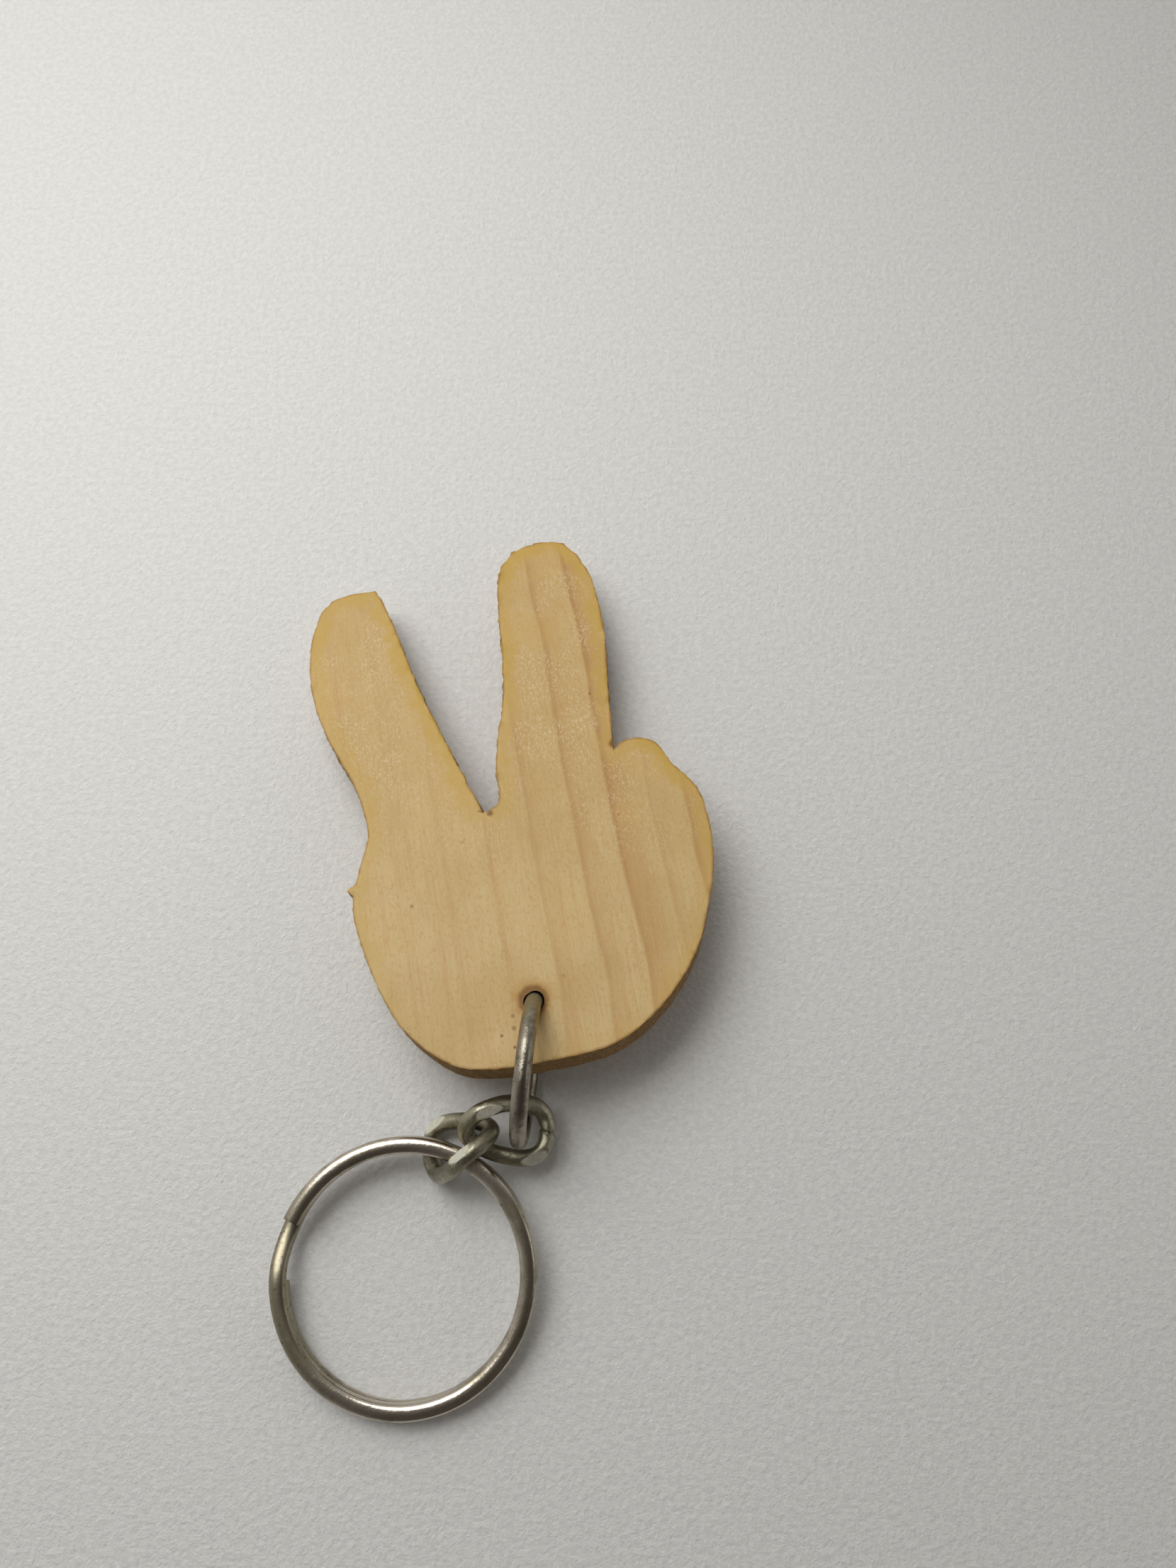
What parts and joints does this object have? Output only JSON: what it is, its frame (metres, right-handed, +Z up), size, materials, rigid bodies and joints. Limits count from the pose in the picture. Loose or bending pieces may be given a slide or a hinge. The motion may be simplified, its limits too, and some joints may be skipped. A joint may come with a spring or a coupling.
{
  "type": "keychain",
  "caption": "Flat lacquered wood charm in the outline of a V-sign hand, hung by a wire ring and twisted chain links from a split key ring.",
  "frame": {"origin": "on the table under the middle of the keychain's bounding box", "axes": "+X to the right of the hand seen on its plain face, +Y from the split ring to the finger tips, +Z up from the table"},
  "size_m": [0.0474, 0.0988, 0.0163],
  "materials": {
    "lacquered_wood": "satin",
    "steel_wire": "worn satin",
    "nickel_links": "dull, rolled flats brighter",
    "nickel_spring": "worn bright nickel"
  },
  "bodies": {
    "hand": {"wooden_hand": "lacquered_wood"},
    "wire_ring": {"wire_ring": "steel_wire"},
    "upper_link": {"curb_link_upper": "nickel_links"},
    "lower_link": {"curb_link_lower": "nickel_links"},
    "key_ring": {"split_ring": "nickel_spring"}
  },
  "joints": [
    {"name": "wire_ring_swing", "type": "hinge", "parent": "hand", "child": "wire_ring", "pos_m": [0.0039, -0.0082, 0.00753], "axis": [-0.0291, 0.083, 0.9961], "range_deg": [-15, 45]},
    {"name": "upper_link_swing", "type": "hinge", "parent": "wire_ring", "child": "upper_link", "pos_m": [0.00255, -0.02101, 0.00416], "axis": [-0.0573, -0.5448, 0.8366], "range_deg": [-15, 40]},
    {"name": "lower_link_lift", "type": "hinge", "parent": "upper_link", "child": "lower_link", "pos_m": [-0.00517, -0.02147, 0.00531], "axis": [-0.483, 0.8365, 0.2588], "range_deg": [-5, 60]},
    {"name": "key_ring_turn", "type": "hinge", "parent": "lower_link", "child": "key_ring", "pos_m": [-0.0096, -0.03543, 0.00264], "axis": [-0.016, -0.0907, 0.9958], "continuous": true}
  ]
}
